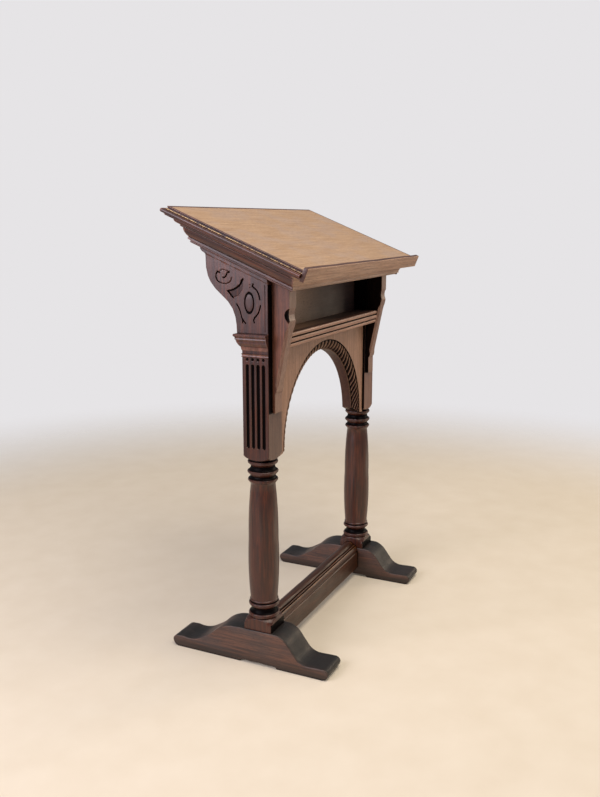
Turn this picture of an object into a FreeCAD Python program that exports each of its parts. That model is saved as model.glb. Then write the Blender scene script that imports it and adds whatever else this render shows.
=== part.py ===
import FreeCAD, Part
import math
import os

# All lengths in mm. X runs across the stand, Y from the reader to the audience, Z up.
overall_height = 1200.0

post_spacing = 664.0
post_y = -30.0
top_block_side = 74.0
base_block_side = 80.0
base_block_top = 131.0
turning_top = 564.0
top_block_corner_z = 577.0
lap_shoulder_z = 889.0

foot_thickness = 88.0
foot_top_z = 97.0
foot_relief_height = 6.0
tenon_thickness = 30.0
tenon_width = 44.0
tenon_depth = 58.0
fit_gap = 0.1

desk_slope_deg = 22.05
desk_back_y = 184.4
desk_arris_half_width = 416.0
desk_board_half_width = 408.0
desk_board_thickness = 23.0
desk_front_run = 397.5
rail_depth = 67.0
rail_inner_x = 332.0
fascia_back_run = 350.0
fascia_front_run = 374.5
rear_rail_inner_run = 110.0

lip_half_width = 418.0
lip_thickness = 11.5
lip_rise = 9.0
lip_drop = 26.0
glue_line = 0.05

stretcher_bottom_z = 29.0
stretcher_top_z = 114.0
stretcher_front_y = -55.0
stretcher_back_y = -5.0

panel_front_y = -60.0
panel_back_y = -12.0
panel_bottom_z = 562.0
arch_centre_z = 571.0
arch_half_width = 246.0
arch_rise = 231.0
band_half_width = 273.0
band_rise = 260.0
band_depth = 21.5

shelf_top_z = 889.0
shelf_thickness = 20.0
shelf_front_y = -80.0
shelf_moulding_front_y = -100.0
shelf_moulding_bottom_z = 850.0
back_board_front_y = -28.0
back_board_back_y = -14.0

cheek_outer_x = 348.0
cheek_inner_x = 309.0
cheek_bottom_z = 688.0

post_x = post_spacing / 2
half_top = top_block_side / 2
post_outer_x = post_x + half_top
post_inner_x = post_x - half_top
post_reader_y = post_y - half_top
post_audience_y = post_y + half_top

origin = FreeCAD.Vector(0, 0, 0)
axis_x = FreeCAD.Vector(1, 0, 0)
axis_y = FreeCAD.Vector(0, 1, 0)
axis_z = FreeCAD.Vector(0, 0, 1)


def block(x_low, x_high, y_low, y_high, z_low, z_high):
    """Box given by its low and high limits."""
    corner = FreeCAD.Vector(x_low, y_low, z_low)
    return Part.makeBox(x_high - x_low, y_high - y_low, z_high - z_low, corner)


def closed_face(points):
    """Flat face bounded by straight edges through the points."""
    return Part.Face(Part.makePolygon(points + [points[0]]))


def prism_along_x(outline, x_low, x_high):
    """Extrude a (y, z) outline along X."""
    points = [FreeCAD.Vector(x_low, y, z) for y, z in outline]
    return closed_face(points).extrude(FreeCAD.Vector(x_high - x_low, 0, 0))


def prism_along_y(outline, y_low, y_high):
    """Extrude an (x, z) outline along Y."""
    points = [FreeCAD.Vector(x, y_low, z) for x, z in outline]
    return closed_face(points).extrude(FreeCAD.Vector(0, y_high - y_low, 0))


def prism_along_z(outline, z_low, z_high):
    """Extrude an (x, y) outline along Z."""
    points = [FreeCAD.Vector(x, y, z_low) for x, y in outline]
    return closed_face(points).extrude(FreeCAD.Vector(0, 0, z_high - z_low))


def tilt(shape):
    """Move a shape drawn on a level desk (back top edge at the origin) to the real slope."""
    tilted = shape.copy()
    tilted.rotate(origin, axis_x, desk_slope_deg)
    tilted.translate(FreeCAD.Vector(0, desk_back_y, overall_height))
    return tilted


def above_desk_depth(depth):
    """Everything higher than a plane lying this far below the desk surface."""
    return tilt(block(-600, 600, -700, 200, -depth, 700))


def mirrored(shape):
    """The same piece for the other side of the stand."""
    return shape.mirror(origin, axis_x)


def turned(sections, x_centre, y_centre):
    """Revolve (radius, z) sections; a three-part entry after the first is (radius, z, bulge point)."""
    start = sections[0]
    edges = []
    last = FreeCAD.Vector(start[0], 0, start[1])
    foot_point = FreeCAD.Vector(0, 0, start[1])
    edges.append(Part.makeLine(foot_point, last))
    for section in sections[1:]:
        here = FreeCAD.Vector(section[0], 0, section[1])
        if len(section) == 3:
            middle = FreeCAD.Vector(section[2][0], 0, section[2][1])
            edges.append(Part.Arc(last, middle, here).toShape())
        else:
            edges.append(Part.makeLine(last, here))
        last = here
    top_point = FreeCAD.Vector(0, 0, last.z)
    edges.append(Part.makeLine(last, top_point))
    edges.append(Part.makeLine(top_point, foot_point))
    solid = Part.Face(Part.Wire(edges)).revolve(origin, axis_z, 360)
    solid.translate(FreeCAD.Vector(x_centre, y_centre, 0))
    return solid


def export(name, shape):
    """Write one node as a STEP file."""
    shape.exportStep("parts/" + name + ".step")


def make_foot():
    """Left foot: rounded toes, concave sweep up to a flat seat for the post, relieved underneath."""
    x_low = -post_x - foot_thickness / 2

    def spot(y, z):
        return FreeCAD.Vector(x_low, y, z)

    audience_sweep = Part.BSplineCurve()
    audience_sweep.interpolate([spot(219, 31), spot(186, 30), spot(150, 38), spot(115, 59),
                                spot(93, 78), spot(70, 90), spot(46, 96), spot(20, foot_top_z)])
    reader_sweep = Part.BSplineCurve()
    reader_sweep.interpolate([spot(-84, foot_top_z), spot(-100, 92.5), spot(-116, 80), spot(-133, 58),
                              spot(-149, 39), spot(-168, 30.5), spot(-190, 29.5), spot(-219, 31)])
    edges = [
        Part.makeLine(spot(-220, 0), spot(220, 0)),
        Part.Arc(spot(220, 0), spot(236, 18), spot(219, 31)).toShape(),
        audience_sweep.toShape(),
        Part.makeLine(spot(20, foot_top_z), spot(-84, foot_top_z)),
        reader_sweep.toShape(),
        Part.Arc(spot(-219, 31), spot(-236, 18), spot(-220, 0)).toShape(),
    ]
    foot = Part.Face(Part.Wire(edges)).extrude(FreeCAD.Vector(foot_thickness, 0, 0))
    relief = block(x_low - 1, x_low + foot_thickness + 1, -85, 22, -1, foot_relief_height)
    half_thick = tenon_thickness / 2 + fit_gap
    half_wide = tenon_width / 2 + fit_gap
    mortise = block(-post_x - half_thick, -post_x + half_thick, post_y - half_wide, post_y + half_wide,
                    foot_top_z - tenon_depth - 1, foot_top_z + 1)
    stretcher_socket = stretcher_tenon(fit_gap)
    return foot.cut(relief).cut(mortise).cut(stretcher_socket)


def stretcher_tenon(gap):
    """Left tenon of the stretcher, let into the inner side of the foot."""
    inner_side = -post_x + foot_thickness / 2
    return block(inner_side - 24 - gap, inner_side + 1, post_y - 11 - gap, post_y + 11 + gap,
                 42 - gap, 88 + gap)


def make_post():
    """Left post: tenon, square base, turned shaft with collars, square fluted head, lapped top."""
    half_base = base_block_side / 2
    tenon = block(-post_x - tenon_thickness / 2, -post_x + tenon_thickness / 2,
                  post_y - tenon_width / 2, post_y + tenon_width / 2,
                  foot_top_z - tenon_depth, foot_top_z)
    base = block(-post_x - half_base, -post_x + half_base, post_y - half_base, post_y + half_base,
                 foot_top_z, base_block_top)
    base_shoulder = turned([(60, foot_top_z - 1), (60, 109), (38.5, base_block_top, (51, 124))], -post_x, post_y)
    shaft = turned([
        (38.5, base_block_top - 1),
        (38.5, base_block_top),
        (38.5, 141.5, (41.4, 136)),
        (31.2, 152),
        (31.2, 154),
        (38.4, 161.5),
        (38.4, 171.5, (40.8, 166.5)),
        (36.4, 178),
        (36.3, 181),
        (32.5, 497, (39.5, 350)),
        (33, 499),
        (38, 505.5),
        (38, 512, (39.4, 509)),
        (32.6, 518.5),
        (33, 519.5),
        (39, 526.5),
        (39, 532.5, (40.4, 529.5)),
        (32, 541.5),
        (31.8, 545.5),
        (38.2, 553),
        (38.2, 559.5, (39.5, 556.2)),
        (34.5, 563),
        (34.5, turning_top + 2),
    ], -post_x, post_y)
    head = block(-post_outer_x, -post_inner_x, post_reader_y, post_audience_y,
                 turning_top - 2, lap_shoulder_z)
    head_shoulder = turned([(34.5, turning_top - 2), (55, top_block_corner_z + 3, (46.5, 569)),
                            (55, lap_shoulder_z + 1)], -post_x, post_y)
    lap = block(-post_x, -post_inner_x, post_reader_y, post_audience_y, lap_shoulder_z - 1, 1150)
    post = tenon.fuse([base.common(base_shoulder), shaft, head.common(head_shoulder), lap])
    post = post.cut(above_desk_depth(desk_board_thickness))
    for flute in make_flutes():
        post = post.cut(flute)
    post = post.cut(panel_tongue(fit_gap))
    for dowel in cheek_dowel_pair(fit_gap):
        post = post.cut(dowel)
    for screw in console_screw_pair(fit_gap):
        post = post.cut(screw)
    return post.removeSplitter()


def make_flutes():
    """Cutters for the four stopped flutes and the drilled dots above them."""
    flute_radius = 6.0
    flute_spacing = 15.2
    flute_bottom = 600.0
    flute_top = 808.0
    dot_z = 825.0
    cutters = []
    for step in (-1.5, -0.5, 0.5, 1.5):
        y = post_y + step * flute_spacing
        x = -post_outer_x - 3.2
        low = FreeCAD.Vector(x, y, flute_bottom)
        high = FreeCAD.Vector(x, y, flute_top)
        cutters.append(Part.makeCylinder(flute_radius, flute_top - flute_bottom, low, axis_z))
        cutters.append(Part.makeSphere(flute_radius, low))
        cutters.append(Part.makeSphere(flute_radius, high))
        cutters.append(Part.makeSphere(4.4, FreeCAD.Vector(-post_outer_x - 2.2, y, dot_z)))
    return cutters


def panel_tongue(gap):
    """Left tongue of the arch panel, running in a groove down the post."""
    return block(-post_inner_x - 9 - gap, -post_inner_x + 5, -44 - gap, -28 + gap, 600 - gap, 849 + gap)


def make_arch_panel():
    """Arch panel: thick board with an elliptical opening and a splayed band round its front edge."""
    top_z = shelf_top_z - shelf_thickness
    panel = block(-post_inner_x, post_inner_x, panel_front_y, panel_back_y, panel_bottom_z, top_z)
    panel = panel.fuse([panel_tongue(0), mirrored(panel_tongue(0))])
    panel = panel.cut(ellipse_prism(arch_half_width, arch_rise, panel_front_y - 1, panel_back_y + 1))
    band_end_y = panel_front_y + band_depth
    wide = ellipse_wire(band_half_width, band_rise, panel_front_y)
    narrow = ellipse_wire(arch_half_width, arch_rise, band_end_y)
    panel = panel.cut(Part.makeLoft([wide, narrow], True, True))
    chamfer = prism_along_y([(-240, 555), (-290, 555), (-290, 562), (-246, 583), (-240, 583)],
                            panel_front_y - 1, panel_back_y + 1)
    return panel.cut(chamfer).cut(mirrored(chamfer)).removeSplitter()


def ellipse_wire(half_width, rise, y):
    """Closed ellipse standing upright in the plane of the panel."""
    centre = FreeCAD.Vector(0, y, arch_centre_z)
    side = FreeCAD.Vector(half_width, y, arch_centre_z)
    top = FreeCAD.Vector(0, y, arch_centre_z + rise)
    return Part.Wire([Part.Ellipse(side, top, centre).toShape()])


def ellipse_prism(half_width, rise, y_low, y_high):
    """Elliptical cutter running through the panel."""
    face = Part.Face(ellipse_wire(half_width, rise, y_low))
    return face.extrude(FreeCAD.Vector(0, y_high - y_low, 0))


def make_stretcher():
    """Low rail between the feet: a large bead on top, reeds and an ovolo towards the reader."""
    inner_side = post_x - foot_thickness / 2
    block_side = post_x - base_block_side / 2
    front = stretcher_front_y
    back = stretcher_back_y
    bottom = stretcher_bottom_z
    top = stretcher_top_z
    outline = [(front, bottom), (front, 83), (front + 2.5, 85), (front + 2, 89), (front + 3.5, 96),
               (front + 7, 101.5), (front + 9.5, 103), (front + 10.5, 101), (front + 12, 101),
               (front + 13, 106.5), (front + 15, 108.5), (front + 17, 106.5), (front + 17.5, 104.5),
               (front + 19, 104.5), (front + 21, 109), (front + 25, top - 1.2), (front + 31, top),
               (back - 14, top - 1), (back - 8, top - 4), (back - 3.5, 105), (back - 0.8, 99),
               (back, 93), (back, bottom)]
    rail = prism_along_x(outline, -block_side, block_side)
    foot_clearance = block(-block_side - 1, -inner_side, -100, 50, 0, foot_top_z)
    rail = rail.cut(foot_clearance).cut(mirrored(foot_clearance))
    return rail.fuse([stretcher_tenon(0), mirrored(stretcher_tenon(0))]).removeSplitter()


def make_cheek():
    """Left cheek: raking bracket on the reader's side of the post that carries the shelf end."""
    outline = [(post_reader_y, cheek_bottom_z), (-75, cheek_bottom_z), (-75, 738), (-79, 741),
               (-79, 746), (-113, 914), (-115, 922), (-112, 930), (-111.5, 938), (-113, 946),
               (-115, 953), (-115, 1060), (post_reader_y, 1060)]
    cheek = prism_along_x(outline, -cheek_outer_x, -cheek_inner_x)
    cheek = cheek.cut(above_desk_depth(rail_depth))
    housing = block(-cheek_inner_x - 6 - fit_gap, -cheek_inner_x + 1, shelf_front_y - fit_gap,
                    post_reader_y + 1, shelf_top_z - shelf_thickness - fit_gap, shelf_top_z + fit_gap)
    cheek = cheek.cut(housing)
    for dowel in cheek_dowel_pair(fit_gap):
        cheek = cheek.cut(dowel)
    return cheek


def cheek_dowel_pair(gap):
    """Left dowels joining the cheek to the post."""
    x = -(cheek_outer_x + cheek_inner_x) / 2
    start_y = post_reader_y - 14 - gap
    length = 34 + 2 * gap
    return [Part.makeCylinder(5.0 + gap, length, FreeCAD.Vector(x, start_y, z), axis_y)
            for z in (800, 850)]


def moulding_round_head(levels):
    """Moulding mitred round the outer and audience sides of the post head, cut flush on the
    reader's side, from (projection, z) levels."""
    wires = []
    for projection, z in levels:
        x_low = -post_outer_x - projection
        y_low = post_reader_y
        y_high = post_audience_y + projection
        corners = [(x_low, y_low), (-post_inner_x, y_low), (-post_inner_x, y_high), (x_low, y_high)]
        points = [FreeCAD.Vector(x, y, z) for x, y in corners]
        wires.append(Part.makePolygon(points + [points[0]]))
    solid = Part.makeLoft(wires, True, True)
    low_z = levels[0][1] - 1
    high_z = levels[-1][1] + 1
    core = block(-post_outer_x, -post_inner_x + 1, post_reader_y, post_audience_y, low_z, high_z)
    return solid.cut(core)


def make_capital():
    """Left capital: hollow, ovolo and square fillet."""
    return moulding_round_head([(1, 848), (1.6, 853), (3.2, 858), (5.6, 862.5), (8.4, 866), (9.4, 866.5),
                                (9.4, 869.5), (11.2, 871), (12.6, 873.5), (13.4, 876.5), (13.4, 879),
                                (14.2, 881), (15.6, 882.5), (16.6, 884.5), (16.6, lap_shoulder_z)])


def make_necking():
    """Left necking: small round bead under the capital."""
    return moulding_round_head([(1.2, 831), (2.6, 832), (3.3, 834), (3.3, 836), (2.6, 838), (1.2, 839)])


def make_console():
    """Left console: outer half of the bearer, lapped on the post head, ogee on the audience side."""
    def spot(y, z):
        return FreeCAD.Vector(-post_outer_x, y, z)

    ogee = Part.BSplineCurve()
    ogee.interpolate([spot(21, lap_shoulder_z), spot(22, 911), spot(25, 930), spot(32.7, 950),
                      spot(45.3, 967), spot(62, 981.5), spot(81, 998), spot(94, 1013.5),
                      spot(102, 1029), spot(107, 1050), spot(108, 1081)])
    edges = [
        Part.makeLine(spot(post_reader_y, lap_shoulder_z), spot(21, lap_shoulder_z)),
        ogee.toShape(),
        Part.Arc(spot(108, 1081), spot(117, 1088), spot(124, 1093)).toShape(),
        Part.makeLine(spot(124, 1093), spot(124, 1130)),
        Part.makeLine(spot(124, 1130), spot(post_reader_y, 1130)),
        Part.makeLine(spot(post_reader_y, 1130), spot(post_reader_y, lap_shoulder_z)),
    ]
    board = Part.Face(Part.Wire(edges)).extrude(FreeCAD.Vector(post_outer_x - post_x, 0, 0))
    board = board.cut(above_desk_depth(rail_depth))
    for screw in console_screw_pair(fit_gap):
        board = board.cut(screw)
    return board


def console_screw_pair(gap):
    """Left screws driven outward through the lap of the post into the console."""
    screws = []
    for y, z in ((-50, 925), (-12, 1005)):
        head_face = FreeCAD.Vector(-post_inner_x, y, z)
        back = FreeCAD.Vector(-1, 0, 0)
        shank = Part.makeCylinder(2.5 + gap, 58 + gap, head_face, back)
        head = Part.makeCone(5.2 + gap, 2.5 + gap, 4.0, head_face, back)
        screws.append(shank.fuse(head))
    return screws


def slotted(screw, y, z):
    """Cut the driving slot in the head of a screw."""
    slot = block(-post_inner_x - 1.4, -post_inner_x + 1, y - 6, y + 6, z - 0.6, z + 0.6)
    return screw.cut(slot)


def make_console_screws():
    """All four console screws."""
    left = console_screw_pair(0)
    left = [slotted(left[0], -50, 925), slotted(left[1], -12, 1005)]
    return Part.makeCompound(left + [mirrored(screw) for screw in left])


def make_desk_board():
    """Sloping reading board."""
    board = block(-desk_board_half_width, desk_board_half_width, -desk_front_run, -8,
                  -desk_board_thickness, 0)
    for dowel in lip_dowel_row(fit_gap):
        board = board.cut(dowel)
    return tilt(board)


def lip_dowel_row(gap):
    """Dowels joining the book lip to the front edge of the board, on the level desk."""
    start_y = -desk_front_run - 8 - gap
    return [Part.makeCylinder(4.0 + gap, 30 + 2 * gap, FreeCAD.Vector(x, start_y, -11.5), axis_y)
            for x in (-360, -180, 0, 180, 360)]


def make_book_lip():
    """Thin strip standing proud of the board so a book cannot slide off."""
    y_back = -desk_front_run - glue_line
    y_front = y_back - lip_thickness
    outline = [(y_back, -lip_drop), (y_back, lip_rise - 1.5), (y_back - 1.5, lip_rise),
               (y_front + 2, lip_rise), (y_front, lip_rise - 2), (y_front, -lip_drop)]
    lip = prism_along_x(outline, -lip_half_width, lip_half_width)
    for dowel in lip_dowel_row(fit_gap):
        lip = lip.cut(dowel)
    return tilt(lip)


# Edge moulding section: distance outside the face of the post head, height on the level desk.
edge_section = [(38, 0), (46, 0), (46.4, -1.2), (44.4, -3), (44.6, -5.5), (46.5, -7), (56, -8),
                (59, -10), (60, -13), (59, -16), (55, -18.5), (48, -19.5), (47, -23), (38, -23)]

# Cornice section under the board, drawn the same way.
cornice_section = [(38, -23), (38, -25), (35, -28), (31.5, -30), (29.5, -31), (28.5, -35.5),
                   (23, -39), (18.5, -44), (15.2, -50), (13.2, -56.5), (13, -58), (12, -59.5),
                   (9.5, -60.5), (9.8, -62), (10.2, -64), (9, -66), (7, -67)]


def side_run(section, inner_x, y_low, y_high):
    """Left moulding run, straight along the side of the desk."""
    outline = [(-post_outer_x - 1 - distance, z) for distance, z in section]
    outline += [(-inner_x, section[-1][1]), (-inner_x, section[0][1])]
    return prism_along_y(outline, y_low, y_high)


def make_edge_side():
    """Left edge moulding, mitred at the back corner."""
    run = side_run(edge_section, desk_board_half_width, -desk_front_run, 30)
    beyond_mitre = prism_along_z([(-450, 34), (-408, -8), (-380, -8), (-380, 60), (-450, 60)], -40, 20)
    return tilt(run.cut(beyond_mitre))


def make_edge_rear():
    """Rear edge moulding, mitred at both ends."""
    outline = [(distance - 46, z) for distance, z in edge_section]
    run = prism_along_x(outline, -450, 450)
    outside = prism_along_z([(-455, 39), (-408, -8), (-408, -60), (-455, -60)], -40, 20)
    return tilt(run.cut(outside).cut(mirrored(outside)))


mitre_start = (-460, 63.0)
mitre_end = (-358.2, -rear_rail_inner_run)


def make_cornice_side():
    """Left cornice rail under the board, mitred into the rear rail."""
    run = side_run(cornice_section, rail_inner_x, -fascia_back_run, 40)
    beyond_mitre = prism_along_z([mitre_start, mitre_end, (-300, -rear_rail_inner_run),
                                  (-300, 100), (-460, 100)], -80, 0)
    return tilt(run.cut(beyond_mitre))


def make_cornice_rear():
    """Rear cornice rail; it is set back further than the side rails."""
    setback_ratio = 1.7
    outline = [(-90 + setback_ratio * distance, z) for distance, z in cornice_section]
    outline += [(-rear_rail_inner_run, -rail_depth), (-rear_rail_inner_run, -desk_board_thickness)]
    run = prism_along_x(outline, -460, 460)
    outside = prism_along_z([mitre_start, mitre_end, (mitre_end[0], -200), (-461, -200), (-461, 63)],
                            -80, 0)
    return tilt(run.cut(outside).cut(mirrored(outside)))


def make_front_fascia():
    """Front rail of the desk frame, its ends shaped to the cornice section."""
    left_side = [(-post_outer_x - 1 - distance, z) for distance, z in cornice_section]
    outline = left_side + [(-x, z) for x, z in reversed(left_side)]
    rail = prism_along_y(outline, -fascia_front_run, -fascia_back_run)
    front = -fascia_front_run
    sunk_line = prism_along_x([(front - 1, -57), (front, -57), (front + 2.5, -58.2), (front + 2.5, -60),
                               (front + 0.8, -61.5), (front + 0.8, -64), (front + 4, -67),
                               (front + 4, -69), (front - 1, -69)], -460, 460)
    return tilt(rail.cut(sunk_line))


def make_back_board():
    """Back of the book shelf."""
    board = block(-post_inner_x, post_inner_x, back_board_front_y, back_board_back_y,
                  shelf_top_z, 1150)
    return board.cut(above_desk_depth(desk_board_thickness))


def make_shelf_board():
    """Book shelf, housed in the cheeks and fitted between the posts."""
    low = shelf_top_z - shelf_thickness
    front = block(-cheek_inner_x - 6, cheek_inner_x + 6, shelf_front_y, post_reader_y, low, shelf_top_z)
    rear = block(-post_inner_x, post_inner_x, post_reader_y, panel_back_y, low, shelf_top_z)
    return front.fuse(rear).removeSplitter()


def make_shelf_moulding():
    """Reeded strip along the front of the shelf."""
    y = shelf_moulding_front_y
    bottom = shelf_moulding_bottom_z
    outline = [(shelf_front_y, bottom), (y + 9, bottom), (y + 5, bottom + 2), (y + 3.5, bottom + 6),
               (y + 4, bottom + 9.5), (y + 6.5, bottom + 11), (y + 6, bottom + 12.5),
               (y + 2, bottom + 14), (y + 1, bottom + 19), (y + 2, bottom + 25),
               (y + 5, bottom + 27), (y + 4.5, bottom + 28.5), (y + 1, bottom + 30),
               (y, bottom + 34), (y + 1, bottom + 38), (y + 2, bottom + 39), (shelf_front_y, bottom + 39)]
    return prism_along_x(outline, -cheek_inner_x, cheek_inner_x)


def make_rear_frieze():
    """Board between the consoles closing the audience side under the rear rail."""
    board = block(-post_x, post_x, 78, 96, 1012, 1130)
    return board.cut(above_desk_depth(rail_depth))


def make_glue_blocks():
    """Rubbed blocks glued in the corner between the board and the side rails."""
    blocks = []
    for run in (160, 230, 300):
        corner = prism_along_y([(-rail_inner_x, -23), (-rail_inner_x + 28, -23), (-rail_inner_x, -51)],
                               -run - 22, -run + 22)
        blocks.append(corner)
    sides = blocks + [mirrored(corner) for corner in blocks]
    clear_of_posts = [tilt(corner) for corner in sides]
    post_zone = block(-post_x - 1, -post_inner_x + 1, post_reader_y - 1, post_audience_y + 1, 900, 1200)
    kept = [corner.cut(post_zone).cut(mirrored(post_zone)) for corner in clear_of_posts]
    return Part.makeCompound([corner for corner in kept if corner.Volume > 1000])


def make_all():
    """Build every node and write it out."""
    os.makedirs("parts", exist_ok=True)
    pairs = {
        "foot": make_foot(),
        "post": make_post(),
        "cheek": make_cheek(),
        "capital": make_capital(),
        "necking": make_necking(),
        "console": make_console(),
        "edge_moulding": make_edge_side(),
        "cornice": make_cornice_side(),
    }
    for name, shape in pairs.items():
        export(name + "_left", shape)
        export(name + "_right", mirrored(shape))
    singles = {
        "stretcher": make_stretcher(),
        "arch_panel": make_arch_panel(),
        "shelf_board": make_shelf_board(),
        "shelf_moulding": make_shelf_moulding(),
        "back_board": make_back_board(),
        "desk_board": make_desk_board(),
        "book_lip": make_book_lip(),
        "edge_moulding_rear": make_edge_rear(),
        "cornice_rear": make_cornice_rear(),
        "front_fascia": make_front_fascia(),
        "rear_frieze": make_rear_frieze(),
        "glue_blocks": make_glue_blocks(),
        "console_screws": make_console_screws(),
    }
    dowels = cheek_dowel_pair(0)
    singles["cheek_dowels"] = Part.makeCompound(dowels + [mirrored(dowel) for dowel in dowels])
    singles["lip_dowels"] = tilt(Part.makeCompound(lip_dowel_row(0)))
    for name, shape in singles.items():
        export(name, shape)


make_all()
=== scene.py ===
import math
import bpy
import bmesh
import numpy as np
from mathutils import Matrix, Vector


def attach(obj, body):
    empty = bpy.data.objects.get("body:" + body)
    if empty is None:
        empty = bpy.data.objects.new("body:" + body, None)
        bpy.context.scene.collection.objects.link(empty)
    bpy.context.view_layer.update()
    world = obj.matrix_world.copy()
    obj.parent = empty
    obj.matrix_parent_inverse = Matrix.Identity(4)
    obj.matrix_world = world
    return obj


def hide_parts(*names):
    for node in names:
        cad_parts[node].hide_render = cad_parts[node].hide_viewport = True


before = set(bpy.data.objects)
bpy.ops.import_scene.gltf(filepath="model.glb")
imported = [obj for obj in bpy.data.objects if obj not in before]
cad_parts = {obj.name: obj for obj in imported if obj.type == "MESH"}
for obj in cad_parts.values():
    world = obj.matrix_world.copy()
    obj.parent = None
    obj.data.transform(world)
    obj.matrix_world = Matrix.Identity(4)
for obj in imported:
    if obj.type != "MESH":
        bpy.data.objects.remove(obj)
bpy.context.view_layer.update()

print("frame loaded:", len(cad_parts), "nodes")

# the whole stand, mm; X to the reader's right, Y towards the audience, Z up
stand = {
    "height": 1200,
    "deskSlope": 22.05,      # degrees
    "deskBackY": 184.4,      # top edge of the board at the back
    "postX": 332,
    "postY": -30,
    "headHalf": 37,        # half the side of the square post head
    "shelfTop": 889,
    "boardFront": 397.5,     # run of the board down the slope
    "boardThick": 23,
    "railDepth": 67,       # foot of the rails, under the board's surface
    "deskSide": 370,       # the mouldings are measured out from here
    "panelHalf": 295,      # half the length of the panel between the posts
    "gap": 0.1,              # left between pieces so that none share a face
}
gap = stand["gap"]
slopeSin = math.sin(math.radians(stand["deskSlope"]))
slopeCos = math.cos(math.radians(stand["deskSlope"]))
headFace = stand["postX"] + stand["headHalf"]    # outer face of the post head
readerFace = stand["postY"] - stand["headHalf"]  # its face towards the reader
audienceFace = stand["postY"] + stand["headHalf"]


def onDesk(x, run, depth):
    # a point given by its run down the slope and its depth under the board's surface
    y = stand["deskBackY"] - slopeCos * run + slopeSin * depth
    z = stand["height"] - slopeSin * run - slopeCos * depth
    return (x, y, z)


def zAtDepth(y, depth):
    # height of the sloping plane that lies this deep under the board's surface
    return stand["height"] - (depth - slopeSin * (y - stand["deskBackY"])) / slopeCos


def depthUnderDesk(y, z):
    return slopeSin * (y - stand["deskBackY"]) - slopeCos * (z - stand["height"])


# outlines and meshes
def traceOutline(points, steps=6):
    # (a, b) or (a, b, bulge); a bulge bows the line from that point to the next one
    traced = []
    for here, there in zip(points, points[1:]):
        traced.append((here[0], here[1]))
        bulge = here[2] if len(here) > 2 else 0
        if not bulge:
            continue
        start, end = Vector(here[:2]), Vector(there[:2])
        chord = end - start
        side = Vector((chord.y, -chord.x)) * 0.5
        angle = 4 * math.atan(bulge)
        radius = chord.length / (2 * math.sin(angle / 2))
        centre = (start + end) / 2 - side.normalized() * radius * math.cos(angle / 2)
        arm = start - centre
        for step in range(1, steps):
            turn = angle * step / steps
            c, s = math.cos(turn), math.sin(turn)
            traced.append((centre.x + arm.x * c - arm.y * s, centre.y + arm.x * s + arm.y * c))
    traced.append((points[-1][0], points[-1][1]))
    return traced


def smoothCurve(points, steps=8):
    # a smooth line through given points
    ends = [tuple(2 * a - b for a, b in zip(points[0], points[1]))] + list(points)
    ends.append(tuple(2 * a - b for a, b in zip(points[-1], points[-2])))
    curve = []
    for p0, p1, p2, p3 in zip(ends, ends[1:], ends[2:], ends[3:]):
        for step in range(steps):
            t = step / steps
            curve.append(tuple(0.5 * (2 * b + (c - a) * t + (2 * a - 5 * b + 4 * c - d) * t * t
                                      + (3 * b - a - 3 * c + d) * t ** 3)
                               for a, b, c, d in zip(p0, p1, p2, p3)))
    curve.append(tuple(points[-1]))
    return curve


def loft(rings, caps=True):
    # skin a list of closed rings that all have the same number of points
    count = len(rings[0])
    verts = [point for ring in rings for point in ring]
    faces = []
    for row in range(len(rings) - 1):
        for i in range(count):
            j = (i + 1) % count
            faces.append((row * count + i, row * count + j, (row + 1) * count + j, (row + 1) * count + i))
    if caps:
        faces.append(tuple(range(count))[::-1])
        faces.append(tuple((len(rings) - 1) * count + i for i in range(count)))
    return verts, faces


def joinParts(*parts):
    verts, faces = [], []
    for partVerts, partFaces in parts:
        base = len(verts)
        verts += list(partVerts)
        faces += [tuple(base + i for i in face) for face in partFaces]
    return verts, faces


def flipSide(shape):
    # the same shape for the other side of the stand
    verts, faces = shape[:2]
    return ([(-x, y, z) for x, y, z in verts], [face[::-1] for face in faces], *shape[2:])


def addPiece(name, shape, finish, nodes):
    # shape holds points, faces and, where painted shade and old dirt make it dark, a sootAndShade value for
    # each point
    verts, faces = shape[:2]
    weldGap, crumb, sharpEdge = 0.00002, 0.00001, 32    # metres, metres, degrees
    mesh = bpy.data.meshes.new(name)
    mesh.from_pydata([(x / 1000, y / 1000, z / 1000) for x, y, z in verts], [], faces)
    if len(shape) > 2:
        sootAndShade = mesh.attributes.new("sootAndShade", "FLOAT", "POINT")
        sootAndShade.data.foreach_set("value", [float(value) for value in shape[2]])
    work = bmesh.new()
    work.from_mesh(mesh)
    bmesh.ops.remove_doubles(work, verts=work.verts, dist=weldGap)
    bmesh.ops.dissolve_degenerate(work, edges=work.edges, dist=crumb)
    bmesh.ops.recalc_face_normals(work, faces=work.faces)
    work.to_mesh(mesh)
    work.free()
    mesh.shade_smooth()
    mesh.set_sharp_from_angle(angle=math.radians(sharpEdge))
    piece = bpy.data.objects.new(name, mesh)
    bpy.context.scene.collection.objects.link(piece)
    mesh.materials.append(finish)
    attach(piece, "root")
    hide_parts(*nodes)


def addPair(name, shape, finish, nodeName=None):
    # left and right copies, each standing for its own node
    nodeName = nodeName or name
    addPiece(name + "Left", shape, finish, [nodeName + "_left"])
    addPiece(name + "Right", flipSide(shape), finish, [nodeName + "_right"])


def insetRing(ring, inset):
    # move a flat closed ring of (a, b) points inwards
    count = len(ring)
    area = sum(ring[i][0] * ring[(i + 1) % count][1] - ring[(i + 1) % count][0] * ring[i][1]
               for i in range(count))
    sign = 1 if area > 0 else -1
    moved = []
    for i in range(count):
        before, after = Vector(ring[i - 1]), Vector(ring[(i + 1) % count])
        along = (after - before).normalized()
        moved.append((ring[i][0] - sign * along.y * inset, ring[i][1] + sign * along.x * inset))
    return moved


def evenSteps(low, high, size):
    count = max(1, round((high - low) / size))
    return [low + (high - low) * i / count for i in range(count + 1)]


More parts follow.
